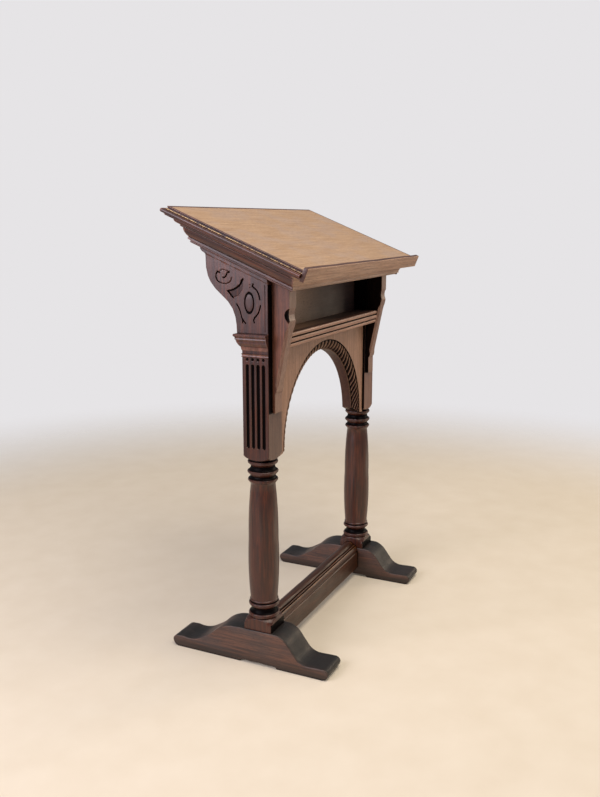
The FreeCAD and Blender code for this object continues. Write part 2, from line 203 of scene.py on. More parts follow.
# materials
def linearColour(hexText):
    channels = [int(hexText[i:i + 2], 16) / 255 for i in (0, 2, 4)]
    return [c / 12.92 if c <= 0.04045 else ((c + 0.055) / 1.055) ** 2.4 for c in channels] + [1.0]


def addNode(tree, kind, settings=None):
    # a setting is a socket's value, the socket to link to it, or a property of the node
    node = tree.nodes.new("ShaderNode" + kind)
    for key, value in (settings or {}).items():
        if not isinstance(key, int) and key not in node.inputs:
            setattr(node, key, value)
        elif hasattr(value, "is_output"):
            tree.links.new(value, node.inputs[key])
        else:
            node.inputs[key].default_value = value
    return node


def startMaterial(name):
    material = bpy.data.materials.new(name)
    material.use_nodes = True
    material.node_tree.nodes.clear()
    return material, material.node_tree, addNode(material.node_tree, "TexCoord").outputs


toneNames = ("early", "late", "pore", "stain", "worn", "grimeAndShade", "paintedLitEnd", "bleachedAndLit", "bleachedAndLitLate", "topDirt")
grainTurns = {"x": (0, 0, 0), "y": (0, 0, math.pi / 2), "z": (0, math.pi / 2, 0),
              "slope": (math.radians(-stand["deskSlope"]), 0, 0),
              "down": (math.radians(-stand["deskSlope"]), 0, math.pi / 2)}


def makeOak(oak):
    material, tree, place = startMaterial(oak["name"])
    tones = {key: linearColour(oak[key]) for key in toneNames if key in oak}
    turned = addNode(tree, "Mapping", {"Rotation": grainTurns[oak["grain"]], "Vector": place["Object"]})
    facing = addNode(tree, "SeparateXYZ", {"Vector": place["Normal"]}).outputs
    spot = addNode(tree, "SeparateXYZ", {"Vector": place["Object"]}).outputs

    def grainPattern(lengthMm, widthMm, detail=2.0, rough=0.5, warp=0.0):
        # noise drawn out along the grain, its size given in mm
        scaled = addNode(tree, "Mapping", {
            "Scale": (1000 / lengthMm, 1000 / widthMm, 1000 / widthMm), "Vector": turned.outputs["Vector"]})
        return addNode(tree, "TexNoise", {
            "Scale": 1.0, "Detail": detail, "Roughness": rough, "Distortion": warp,
            "Vector": scaled.outputs["Vector"]}).outputs["Fac"]

    def maskFrom(*patterns):
        # each pattern: its source, the levels it runs between and, if not 0 and 1, what they turn into
        mask = None
        for source, low, high, *strengths in patterns:
            toLow, toHigh = strengths or (0.0, 1.0)
            level = addNode(tree, "MapRange", {
                "From Min": low, "From Max": high, "To Min": toLow, "To Max": toHigh,
                "interpolation_type": "SMOOTHSTEP", "Value": source}).outputs["Result"]
            if mask is not None:
                level = addNode(tree, "Math", {"operation": "MULTIPLY", 0: mask, 1: level}).outputs["Value"]
            mask = level
        return mask

    figure = grainPattern(oak["figure"] * 22, oak["figure"], 4.0, 0.6, 0.35)    # growth rings
    streak = grainPattern(120, 2.2, 3.0, 0.6)    # fine fibre streaks
    pores = grainPattern(12, 1.3, 2.0, 0.6)      # open pores; drawn coarser than 0.3 mm so that they show
    blotch = grainPattern(130, 60, 4.0, 0.6)     # uneven stain and wax
    # tones in the order they are laid over the late wood, each with its mask
    layers = [("early", maskFrom((figure, 0.32, 0.68))),
              ("late", maskFrom((streak, 0.35, 0.75, 0.0, oak["streak"]))),
              ("stain", maskFrom((blotch, 0.40, 0.66, 0.0, oak["blotch"])))]
    if "paintedLitEnd" in oak:    # painted light: the left end of the boards inside the shelf is painted paler and greyer, as if lit, fading towards the middle
        layers.append(("paintedLitEnd", maskFrom((spot["X"], 0.10, -0.27), (facing["Y"], 0.5, 0.0))))
    if "bleachedAndLit" in oak:    # faces turned to the reader: bleached by light from that side, and painted paler still as light falling on them
        patterns = [(facing["Y"], -0.45, -0.85), (figure, 0.25, 0.6, 0.72, 1.0)]
        if "bleachedAndLitAbove" in oak:
            patterns.append((spot["Z"], oak["bleachedAndLitAbove"] - 0.003, oak["bleachedAndLitAbove"]))
        tones["pale"] = addNode(tree, "Mix", {
            "data_type": "RGBA", 0: maskFrom((streak, 0.3, 0.72)),
            6: tones["bleachedAndLit"], 7: tones["bleachedAndLitLate"]}).outputs[2]
        layers.append(("pale", maskFrom(*patterns)))
    if "topDirt" in oak:
        upOrToReader = addNode(tree, "Math", {"operation": "SUBTRACT", 0: facing["Z"], 1: facing["Y"]})
        layers.append(("topDirt", maskFrom((upOrToReader.outputs["Value"], 0.15, 0.7),
                                           (blotch, 0.3, 0.6, 0.8, 1.0))))
    if "fleck" in oak:     # medullary rays lie across the grain
        fleck = grainPattern(2.2, 11, 1.0, 0.4, 0.8)
        layers.append(("worn", maskFrom((fleck, 0.60, 0.70, 0.0, oak["fleck"]))))
    poreMask = maskFrom((pores, 0.56, 0.66, 0.0, oak["poreDepth"]))
    # rubbed arrises: rays sent inwards soon come out again near an edge
    edges = addNode(tree, "AmbientOcclusion", {
        "inside": True, "samples": 8, "Distance": oak["wearReach"] / 1000}).outputs["AO"]
    edgeMask = maskFrom((edges, 0.86, 0.52), (grainPattern(30, 12), 0.35, 0.62, 0.15, oak["wear"]))
    # old polish and dust caught in the corners, with painted shade: the surface is darkened where ambient
    # occlusion finds it closed in
    corners = addNode(tree, "AmbientOcclusion", {
        "samples": 8, "Distance": oak["grimeAndShadeReach"] / 1000}).outputs["AO"]
    dirtAndShade = maskFrom((corners, 0.84, 0.40, 0.0, oak["grimeAndShadeDepth"]))
    layers += [("pore", poreMask), ("worn", edgeMask), ("grimeAndShade", dirtAndShade)]
    # painted shade: the sootAndShade value on the points paints cuts, grooves, flutes and faces in shade
    # dark, along with old polish in the turned hollows
    if "sootAndShade" in oak:
        sootAndShade = addNode(tree, "Attribute", {"attribute_name": "sootAndShade"}).outputs["Fac"]
        sootAndShadeMask = maskFrom((sootAndShade, 0.0, 1.0, 0.0, oak["sootAndShade"]))
        layers.append(("grimeAndShade", sootAndShadeMask))
        dirtAndShade = addNode(tree, "Math", {"operation": "MAXIMUM", 0: dirtAndShade, 1: sootAndShadeMask}).outputs["Value"]
    if "floorGrime" in oak:
        ragged = addNode(tree, "Math", {"operation": "MULTIPLY_ADD", 0: blotch, 1: 0.03, 2: spot["Z"]})
        layers.append(("grimeAndShade", maskFrom((ragged.outputs["Value"], 0.050, 0.020, 0.0, oak["floorGrime"]))))

    colour = tones["late"]
    for toneName, mask in layers:
        mixer = addNode(tree, "Mix", {"data_type": "RGBA", 0: mask, 6: colour, 7: tones[toneName]})
        colour = mixer.outputs[2]
    relief = addNode(tree, "Math", {"operation": "MULTIPLY_ADD", 0: poreMask, 1: -0.8, 2: streak})
    bump = addNode(tree, "Bump", {
        "Strength": oak["bump"], "Distance": 0.0005, "Height": relief.outputs["Value"]})
    gloss = maskFrom((blotch, 0.3, 0.7, oak["roughness"] - 0.06, oak["roughness"] + 0.08))
    shader = addNode(tree, "BsdfPrincipled", {
        "IOR": 1.5, "Coat Roughness": 0.28, "Coat IOR": 1.45, "Base Color": colour, "Roughness": gloss,
        # dirt and painted shade take the shine away
        "Normal": bump.outputs["Normal"], "Specular IOR Level": maskFrom((dirtAndShade, 0.0, 0.7, 0.5, 0.05)),
        "Coat Weight": maskFrom((dirtAndShade, 0.0, 0.6, oak["wax"], 0.0)) if oak["wax"] else 0.0})
    addNode(tree, "OutputMaterial", {"Surface": shader.outputs["BSDF"]})
    return material


# quarter-sawn board, once dark like the rest; sun has bleached it to tan and the wax is thin
fadedOak = makeOak({
    "name": "oakSunFadedWaxed", "grain": "slope", "figure": 7,
    "early": "c2a283", "late": "a98768", "pore": "86664b", "stain": "a48f84", "worn": "d0b08c",
    "grimeAndShade": "4a352a", "grimeAndShadeDepth": 0.6, "grimeAndShadeReach": 8, "streak": 0.7, "blotch": 0.55, "fleck": 0.4,
    "poreDepth": 0.5, "wear": 0.5, "wearReach": 3, "bump": 0.25, "roughness": 0.5, "wax": 0.08})
# planed and stained oak under old shellac and wax: purplish brown, satin, black in the hollows with painted
# shade
stainedSettings = {
    "name": "oakStainedWaxed", "grain": "z", "figure": 6,
    "early": "6f3a26", "late": "3a1d17", "pore": "1a0b0b", "stain": "331c1b", "worn": "9a6a5a",
    "grimeAndShade": "080405", "grimeAndShadeDepth": 1, "grimeAndShadeReach": 9, "streak": 0.65, "blotch": 0.75,
    "poreDepth": 0.4, "wear": 0.55, "wearReach": 3, "bump": 0.3, "roughness": 0.38, "wax": 0.3, "sootAndShade": 1}
stainedOak = makeOak(stainedSettings)
stainedRail = makeOak({**stainedSettings, "name": "oakStainedRail", "grain": "down"})
stainedRearRail = makeOak({**stainedSettings, "name": "oakStainedRearRail", "grain": "slope"})
stainedShelf = makeOak({**stainedSettings, "name": "oakStainedShelf", "grain": "x"})
# inside of the book shelf: dull and nearly black, with painted shade in its corners and painted light on its
# left end
darkInside = makeOak({
    **stainedSettings, "name": "oakInsideUnpolished", "grain": "x", "early": "4e3630", "late": "33211d",
    "stain": "3a2825", "paintedLitEnd": "b4947c", "grimeAndShadeDepth": 0.25, "grimeAndShadeReach": 30, "roughness": 0.6,
    "wax": 0})
# turned between centres and stained; hands have polished the shafts, the heads are bleached in front and
# painted paler there as light falling on them
turnedSettings = {
    **stainedSettings, "name": "oakTurnedPolished", "early": "5e2b16", "late": "280d06", "stain": "3e180e",
    "worn": "8a5740", "bleachedAndLit": "6f5245", "bleachedAndLitLate": "553b30", "bleachedAndLitAbove": 0.566, "streak": 0.8,
    "roughness": 0.36, "wax": 0.22}
turnedOak = makeOak(turnedSettings)
# the right-hand post: a lighter copy, painted light on the faces of its head turned to the reader
turnedLitOak = makeOak({
    **turnedSettings, "name": "oakTurnedFaded", "bleachedAndLit": "936b55", "bleachedAndLitLate": "704c3a"})
# faces towards the reader: finish rubbed thin, the wood gone greyish pink, and painted paler as light falling
# on them
rubbedSettings = {
    "name": "oakRubbedThin", "grain": "slope", "figure": 5,
    "early": "5f3d33", "late": "442821", "pore": "301f1a", "stain": "4f332d", "worn": "a8866f",
    "grimeAndShade": "0c0706", "grimeAndShadeDepth": 1, "grimeAndShadeReach": 7, "bleachedAndLit": "c8a287", "bleachedAndLitLate": "a17a62",
    "streak": 0.55, "blotch": 0.35, "poreDepth": 0.4, "wear": 0.6, "wearReach": 3,
    "bump": 0.3, "roughness": 0.48, "wax": 0.1}
rubbedOak = makeOak(rubbedSettings)
rubbedShelf = makeOak({
    **rubbedSettings, "name": "oakRubbedShelf", "grain": "x", "bleachedAndLit": "c0937a", "bleachedAndLitLate": "926752"})
rubbedUpright = makeOak({
    **rubbedSettings, "name": "oakRubbedUpright", "grain": "z", "early": "8c5238", "late": "542f20",
    "bleachedAndLit": "a58372", "bleachedAndLitLate": "7f5e4f", "sootAndShade": 1})
# panel: tan towards the reader, partly bleaching and partly painted light; the carved band and the soffit
# stay dark, with painted shade in the band's grooves and along the soffit
panelOak = makeOak({
    **rubbedSettings, "name": "oakPanelWaxed", "grain": "z", "early": "5f382b", "late": "43251c",
    "bleachedAndLit": "b78f78", "bleachedAndLitLate": "90694f", "sootAndShade": 1})
# feet: scuffed by shoes, black with floor washing on top and along the bottom
footOak = makeOak({
    **stainedSettings, "name": "oakScuffedFeet", "grain": "y", "early": "744c3a", "late": "3e2c26",
    "pore": "160d0b", "stain": "453935", "worn": "94705a", "grimeAndShade": "120e0d", "topDirt": "171413",
    "floorGrime": 0.75, "wear": 0.8, "wearReach": 5, "poreDepth": 0.55, "bump": 0.5,
    "roughness": 0.5, "wax": 0.1})
# stretcher: trodden smooth, orange brown where the stain has gone
troddenOak = makeOak({
    **stainedSettings, "name": "oakTroddenStretcher", "grain": "x", "early": "572b0f", "late": "281204",
    "pore": "150a04", "stain": "371b09", "worn": "965f30", "grimeAndShade": "0d0705", "grimeAndShadeReach": 12,
    "wear": 0.6, "roughness": 0.44, "wax": 0.1})
# sawn and left bare where nobody sees it
bareOak = makeOak({**rubbedSettings, "name": "oakBareInside", "grain": "x", "roughness": 0.65, "wax": 0})


def makeWornMetal(metal):
    material, tree, place = startMaterial(metal["name"])
    patches = addNode(tree, "TexNoise", {"Scale": metal["patches"], "Detail": 3.0, "Vector": place["Object"]})
    mask = addNode(tree, "MapRange", {
        "From Min": metal["low"], "From Max": metal["high"], "Value": patches.outputs["Fac"]})
    colour = addNode(tree, "Mix", {
        "data_type": "RGBA", 0: mask.outputs["Result"], 6: linearColour(metal["bright"]),
        7: linearColour(metal["dull"])})
    shader = addNode(tree, "BsdfPrincipled", {
        "Roughness": metal["roughness"], "Metallic": metal["metallic"], "Base Color": colour.outputs[2]})
    addNode(tree, "OutputMaterial", {"Surface": shader.outputs["BSDF"]})
    return material


# old gold paint on the thin fillet of the desk edge, brushed on: warm, dull, rubbed off in 7 mm patches
gildedLine = makeWornMetal({
    "name": "gildedFillet", "patches": 140, "low": 0.42, "high": 0.62, "bright": "c39f66",
    "dull": "5a4030", "roughness": 0.4, "metallic": 0.2})
# drawn steel wood screws, dulled and rusting in 1 mm spots
steel = makeWornMetal({
    "name": "steelScrew", "patches": 900, "low": 0, "high": 1, "bright": "7c7873",
    "dull": "4a352b", "roughness": 0.5, "metallic": 0.9})
print("materials made")

# feet: sawn to an outline, hollowed underneath so that they stand on their ends
foot = {
    "halfThick": 44, "arris": 2.6, "top": 97, "stepX": 9,
    "reliefLow": -85, "reliefHigh": 22, "relief": 6, "sawWave": 0.8,
    # (y, z) over the top, from the audience's toe to the reader's
    "upper": [
        (219, 32), (203, 32.5), (186, 30.5), (167, 32), (150, 38), (133, 47.5), (115, 59), (93, 78.5),
        (74, 89.5), (53, 95.5), (30, 97), (0, 97), (-40, 97), (-70, 97), (-86, 96.5), (-99, 92.5),
        (-116, 80.5), (-133, 58.5), (-149, 39), (-166, 30.5), (-182, 29), (-205, 30), (-219, 30)],
    "audienceToe": [(221, 0), (226, 2, 0.25), (236, 18, 0.35), (225, 31, 0.1), (219, 32)],
    "readerToe": [(-219, 30, 0.1), (-226, 29.5, 0.35), (-235.5, 17, 0.25), (-226, 2), (-220, 0)],
}


def makeFoot():
    low, high, relief = foot["reliefLow"], foot["reliefHigh"], foot["relief"]
    under = [(-160, 0), (low - 2, 0), (low + 1, relief - 1), (low + 12, relief)]
    under += [(y, relief - foot["sawWave"] * math.sin(y * 0.9)) for y in range(-60, 15, 12)]
    under += [(high - 4, relief - 1), (high + 1, 0), (110, 0)]
    profile = traceOutline(foot["audienceToe"]) + smoothCurve(foot["upper"], 6)[1:]
    profile += traceOutline(foot["readerToe"])[1:] + under
    half, arris = foot["halfThick"], foot["arris"]
    rings = []
    across = [(-half, arris), (-half + arris * 0.12, arris * 0.5), (-half + arris * 0.4, arris * 0.16),
              (-half + arris, 0)]
    across += [(x, 0) for x in evenSteps(-half + 8, half - 8, foot["stepX"])]
    across += [(-x, inset) for x, inset in reversed(across[:4])]
    for x, inset in across:
        ring = insetRing(profile, inset) if inset else profile
        rings.append([(-stand["postX"] + x, y, max(0.0, z)) for y, z in ring])
    return loft(rings)


addPair("foot", makeFoot(), footOak)
print("feet made")

# posts: square stock with a turned shaft, all one stick
post = {
    "baseHalf": 40, "tenonHalfX": 15, "tenonHalfY": 22, "tenonFoot": 39, "baseFoot": 97,
    "corner": 1.6, "blockTop": 340,    # any height in the shaft, where the square has no effect
    "collars": [(139.0, 174.0), (506.0, 563.5)], "blackRadius": (39.5, 35.0), "blackFall": (2.5, 4.0),
    "headFoot": 566, "sootAndShadeFoot": 689, "sootAndShadeBase": 118, "lapInner": 295,
    "flutes": (-22.8, -7.6, 7.6, 22.8), "fluteFoot": 600, "fluteHead": 808, "fluteRadius": 5,
    "fluteSink": 0.8, "dotHeight": 825, "dotRadius": 4.4, "dotSink": 1.2,
    # lowest, highest and spacing of the stations up the head, close where the flutes and dots turn
    "stations": [(582, 592, 5.0), (592, 612, 1.0), (687, 690, 3.0), (612, 796, 6.0), (796, 832, 1.0)],
    # radius and height, with the bow of each bead and hollow
    "turning": [
        (60, 97), (60, 109), (57, 112, -0.1), (48, 124, -0.08), (39, 130), (38.2, 130.6, 0.3),
        (41, 134.5, 0.3), (41, 138.5, 0.2), (39, 141.5), (37.4, 142.2, -0.16), (31.2, 152), (31, 154.5),
        (37.2, 160.6), (38.6, 161.2, 0.5), (39, 170), (37.4, 171), (36.4, 173.4), (37.6, 175, 0.4),
        (37.4, 178.4), (36.2, 179.4), (36.2, 182, 0.035), (39.5, 350, 0.03), (32.4, 496), (32.9, 498),
        (36.8, 503.6), (37.6, 504.4, 0.5), (37.8, 511.6), (36.4, 512.4, -0.14), (32.4, 518.4),
        (32.8, 519.8), (37.8, 525.6), (38.8, 526.4, 0.5), (39, 533.2), (37.4, 534, -0.16), (32, 541),
        (31.8, 545.6, -0.06), (36.2, 551), (37.6, 552, 0.5), (37.8, 559.8), (36, 560.6, -0.1),
        (34.4, 563), (35.4, 564, 0.1), (46, 569, 0.1), (55, 580), (55, 582)],
}


def makePost():
    edgeSteps = [-1, -0.99, -0.975, -0.955, -0.93]
    plain = edgeSteps + [-0.8 + 0.2 * i for i in range(9)] + [-s for s in reversed(edgeSteps[1:])]
    fine = edgeSteps + evenSteps(-0.9, 0.9, 0.022) + [-s for s in reversed(edgeSteps[1:])]
    around = [(-1, -s) for s in fine] + [(s, -1) for s in plain] + [(1, s) for s in plain]
    around = np.array(around + [(-s, 1) for s in plain])    # starts on the outer face, the fluted one
    direction = around / np.linalg.norm(around, axis=1)[:, None]

    def blockRing(halfX, halfY, corner):
        ring = around * (halfX, halfY)
        inX, inY = halfX - corner, halfY - corner
        over = np.maximum(np.abs(ring) - (inX, inY), 0)
        distance = np.linalg.norm(over, axis=1)
        pull = np.where(distance > corner, corner / np.maximum(distance, 1e-6), 1.0)
        both = (over[:, 0] > 0) & (over[:, 1] > 0)
        over[both] *= pull[both][:, None]
        return np.sign(ring) * (np.minimum(np.abs(ring), (inX, inY)) + over)

    rings = []
    sootAndShade = []
    readerSide = (around[:, 1] < -0.999) & (np.abs(around[:, 0]) < 0.99)
    besidePanel = (around[:, 0] > 0.999) & (around[:, 1] < -0.7)

    def addRing(points, z, dirtAndShade=None):
        rings.append([(-stand["postX"] + x, stand["postY"] + y, z) for x, y in points])
        level = np.zeros(len(around)) if dirtAndShade is None else dirtAndShade
        if post["sootAndShadeFoot"] < z or z < post["sootAndShadeBase"]:    # painted shade: black on the reader face beside the cheek above its foot; black too at the foot of the block
            level = np.where(readerSide, 1.0, level)
        if z > post["headFoot"]:    # painted shade: the narrow step between the head and the panel is black
            level = np.where(besidePanel, 1.0, level)
        sootAndShade.extend(level)

    tenon = blockRing(post["tenonHalfX"], post["tenonHalfY"], 0.5)
    addRing(tenon, post["tenonFoot"])
    addRing(tenon, post["baseFoot"])
    lastRadius = 0
    for radius, z in traceOutline(post["turning"], 7):
        half = post["baseHalf"] if z < post["blockTop"] else stand["headHalf"]
        square = blockRing(half, half, post["corner"])
        squareRadius = np.linalg.norm(square, axis=1)
        level = 0.0
        if any(low < z < high for low, high in post["collars"]):
            # polish has built up black in the hollows, most of all where they face up
            way = 0 if radius < lastRadius else 1
            level = min(1, max(0, (post["blackRadius"][way] - radius) / post["blackFall"][way]))
        lastRadius = radius
        addRing(direction * np.minimum(squareRadius, radius)[:, None], z, np.full(len(around), level))
    heights = sorted({height for station in post["stations"] for height in evenSteps(*station)})
    outer = np.arange(len(fine))
    for z in heights[1:]:
        square = blockRing(stand["headHalf"], stand["headHalf"], post["corner"])
        y = square[outer, 1]
        sink = np.zeros(len(outer))
        for flute in post["flutes"]:
            below = max(post["fluteFoot"] - z, z - post["fluteHead"], 0)
            span = post["fluteRadius"] ** 2 - (y - flute) ** 2 - below ** 2
            sink = np.maximum(sink, np.sqrt(np.maximum(span, 0)) - post["fluteSink"])
            dot = post["dotRadius"] ** 2 - (y - flute) ** 2 - (z - post["dotHeight"]) ** 2
            sink = np.maximum(sink, np.sqrt(np.maximum(dot, 0)) - post["dotSink"])
        sink = np.maximum(sink, 0)
        square[outer, 0] += sink
        # painted shade: the flutes and the dots are painted darker where they sink deeper
        dirtAndShade = np.zeros(len(around))
        dirtAndShade[outer] = np.clip((sink - 0.8) / 1.6, 0, 1)
        addRing(square, z, dirtAndShade)
    addRing(blockRing(stand["headHalf"], stand["headHalf"], post["corner"]), stand["shelfTop"] - 2 * gap)
    lapLow, lapHigh = [], []
    outerX, innerX = -stand["postX"], -post["lapInner"]
    lap = ((outerX, readerFace), (innerX, readerFace), (innerX, audienceFace), (outerX, audienceFace))
    for x, y in lap:
        lapLow.append((x, y, stand["shelfTop"] - 2 * gap))
        lapHigh.append((x, y, zAtDepth(y, stand["boardThick"] + 2 * gap)))
    verts, faces = joinParts(loft(rings), loft([lapLow, lapHigh]))
    return verts, faces, sootAndShade + [1.0] * (len(verts) - len(sootAndShade))


postShape = makePost()
addPiece("postLeft", postShape, turnedOak, ["post_left"])
addPiece("postRight", flipSide(postShape), turnedLitOak, ["post_right"])
print("posts made")

# stretcher: bead on top, reeds and an ovolo towards the reader
stretcher = {
    "halfLength": 288.2, "blockEnd": 292, "tread": 1.6, "treadReach": 150, "treadFoot": 106,
    "wave": 0.35, "waveFoot": 104,
    # (y, z): up the reader's side, over the bead and down the audience side
    "section": [
        (-54.5, 29), (-55, 29.5), (-55, 83), (-53.5, 85), (-52.5, 85.5, -0.06), (-53, 90, -0.16),
        (-47.5, 101.5), (-46.6, 102.4), (-45.6, 98.6), (-44, 98.6), (-43.2, 102, -0.6),
        (-39.8, 105.6, -0.2), (-38.8, 101.8), (-37, 101.8), (-36.4, 105.5, -0.22), (-29, 113, -0.22),
        (-13, 111, -0.25), (-5.6, 100), (-5, 93), (-5, 29.5), (-5.5, 29)],
}


def makeStretcher():
    section = traceOutline(stretcher["section"], 7)
    rings = []
    for x in evenSteps(-stretcher["halfLength"], stretcher["halfLength"], 16):
        tread = stretcher["tread"] * math.exp(-(x / stretcher["treadReach"]) ** 2)    # worn hollow by shoes
        ring = []
        for y, z in section:
            wave = stretcher["wave"] * math.sin(x * 0.045 + y) * (z > stretcher["waveFoot"])
            ring.append((x, y, z - tread * max(0, (z - stretcher["treadFoot"]) / 8) - wave))
        rings.append(ring)
    upper = [(y, z) for y, z in section if z > foot["top"]]
    ends = [loft([[(side * reach, y, z) for y, z in upper]
                  for reach in (stretcher["halfLength"] - 1, stretcher["blockEnd"])]) for side in (-1, 1)]
    return joinParts(loft(rings), *ends)


addPiece("stretcher", makeStretcher(), troddenOak, ["stretcher"])
print("stretcher made")

# arch panel with its gadrooned band
arch = {
    "front": -60, "back": -12, "bandBack": -38.6, "springing": 571, "top": 869,
    "openHalf": 246, "openRise": 231, "bandHalf": 273, "bandRise": 260, "footPost": 562,
    "openLift": 0.052,           # radians, the opening stops short of the springing line
    "bandLength": 820, "stationStep": 1.5, "bandParts": 16,
    "pitch": 24.5, "ridge": 5, "strokeEnd": 0.93,      # the strokes stop here, as a share of the band
    # the strokes stand straight at the crown and lean more and more down the legs
    "lean": 1.75, "leanFrom": 50, "leanOver": 170,
    "footLean": 1.6, "footLeanFrom": 300, "footLeanOver": 90, "leanReach": 34.5,
}


def onEllipse(turn, half, rise, lift):
    angle = lift + turn * (math.pi - 2 * lift) / math.pi
    return half * math.cos(angle), arch["springing"] + rise * math.sin(angle)


def strokeLean(along):
    # how far a stroke leans at this length along the band from the crown
    side = 1 if along > 0 else -1
    ease = min(max((abs(along) - arch["leanFrom"]) / arch["leanOver"], 0), 1)
    atFoot = min(max((abs(along) - arch["footLeanFrom"]) / arch["footLeanOver"], 0), 1)
    return side * (arch["lean"] * ease * ease * (3 - 2 * ease) + arch["footLean"] * atFoot)


def bandPoint(turn, along, lean, step):
    # a quarter round from the face of the panel into the opening, with its stroke cut in
    inwards, onwards = math.sin(step * math.pi / 2), math.cos(step * math.pi / 2)
    half = arch["bandHalf"] + (arch["openHalf"] - arch["bandHalf"]) * inwards
    height = arch["bandRise"] + (arch["openRise"] - arch["bandRise"]) * inwards
    x, z = onEllipse(turn, half, height, arch["openLift"] * max(0, inwards - 0.35) / 0.65)
    y = arch["front"] + (arch["bandBack"] - arch["front"]) * (1 - onwards)
    phase = (along + lean * arch["leanReach"] * (1 - step)) / arch["pitch"]
    ridge = 1 - abs(2 * (phase % 1) - 1)
    ridge *= min(1, step / 0.1) * min(1, max(0, arch["strokeEnd"] - step) / 0.12)
    swell = arch["ridge"] * (ridge - 1) * (step < arch["strokeEnd"]) + 0.4
    # painted shade: dark in the grooves between the strokes with the crests left light, the plain band darker
    # and black at its outer edge
    if 0.05 < step < arch["strokeEnd"]:
        dirtAndShade = min(1, 0.1 + 1.15 * (1 - ridge))
    else:
        dirtAndShade = 0.4 + 0.6 * (step < 0.05)
    point = (x - math.cos(turn) * inwards * swell, min(y - onwards * swell, arch["bandBack"] + 2 * gap),
             z - math.sin(turn) * inwards * swell)
    return point, dirtAndShade


def makeArch():
    rings, sootAndShade = [], []
    rise, panelHalf = arch["top"] - arch["springing"], stand["panelHalf"]
    count = round(arch["bandLength"] / arch["stationStep"])
    corner = math.atan2(rise, panelHalf * arch["bandRise"] / arch["bandHalf"])
    turns = sorted({math.pi * i / count for i in range(count + 1)} | {corner, math.pi - corner})
    for turn in turns:
        bandX, bandZ = onEllipse(turn, arch["bandHalf"], arch["bandRise"], 0)
        bandHeight = bandZ - arch["springing"]
        scale = min(panelHalf / max(abs(bandX), 1e-6), rise / max(bandHeight, 1e-6))
        edgeX, edgeZ = bandX * scale, arch["springing"] + bandHeight * scale
        ring = [(edgeX, arch["back"], edgeZ), (edgeX, arch["front"], edgeZ),
                (bandX * 1.004, arch["front"], bandZ), (bandX, arch["front"] + 0.8, bandZ)]
        # painted shade: black on the step under the front arris
        dirtAndShade = [0.3, 0.0, 0.0, 1.0]
        along = (math.pi / 2 - turn) / math.pi * arch["bandLength"]
        lean = strokeLean(along)
        for part in range(arch["bandParts"] + 1):
            point, black = bandPoint(turn, along, lean, part / arch["bandParts"])
            ring.append(point)
            dirtAndShade.append(black)
        openX, openZ = onEllipse(turn, arch["openHalf"], arch["openRise"], arch["openLift"])
        rings.append(ring + [(openX, arch["back"] - 0.8, openZ), (openX * 1.002, arch["back"], openZ)])
        # painted shade on the edges of the soffit
        sootAndShade.extend(dirtAndShade + [0.35, 0.35])
    # saw the feet of the legs off at a slope, running down to the post
    for ring in (rings[0], rings[-1]):
        for i, (x, y, z) in enumerate(ring):
            towardsPost = (abs(x) - arch["openHalf"]) / (panelHalf - arch["openHalf"])
            ring[i] = (x, y, z - (arch["springing"] - arch["footPost"]) * min(1, max(0, towardsPost)))
    return (*loft(rings), sootAndShade)


addPiece("archPanel", makeArch(), panelOak, ["arch_panel"])
print("arch made")

# shelf moulding: three reeds
shelfMoulding = {
    "halfLength": 309, "stepX": 20,
    "section": [
        (-80.2, 850), (-91, 850), (-95, 852, -0.2), (-96.5, 858, -0.15), (-95, 860.6), (-92.6, 861),
        (-92.6, 862.6), (-96.5, 863.4), (-99, 865, -0.12), (-99, 874.5), (-97, 876), (-94, 876.3),
        (-94, 878), (-98, 878.8), (-99.5, 880.5, -0.15), (-99, 887.5, -0.2), (-97, 889), (-80.2, 889)],
}
half = shelfMoulding["halfLength"]
addPiece("shelfMoulding",
         loft([[(x, y, z) for y, z in traceOutline(shelfMoulding["section"])]
               for x in evenSteps(-half, half, shelfMoulding["stepX"])]),
         rubbedShelf, ["shelf_moulding"])

# cheeks: raking brackets with stopped chamfers
cheek = {
    "outer": 348, "inner": 309,    # up the reader's edge, height then y
    "front": [
        (688, -75), (738, -75), (741, -78), (746, -79), (914, -113), (922, -115), (930, -112.5),
        (938, -111.5), (946, -112.5), (953, -115), (1030, -115)],
    "arris": 0.6, "chamfer": 6.5, "chamferStop": 12, "chamferLow": 752, "chamferHigh": 905,
    "scoopLow": 917, "scoopHigh": 954, "scoopSide": 10, "scoopFront": 3.6, "scoopInner": 3,
    "stations": [(690, 1000, 3.0), (1000, 1026, 6.0)],
}


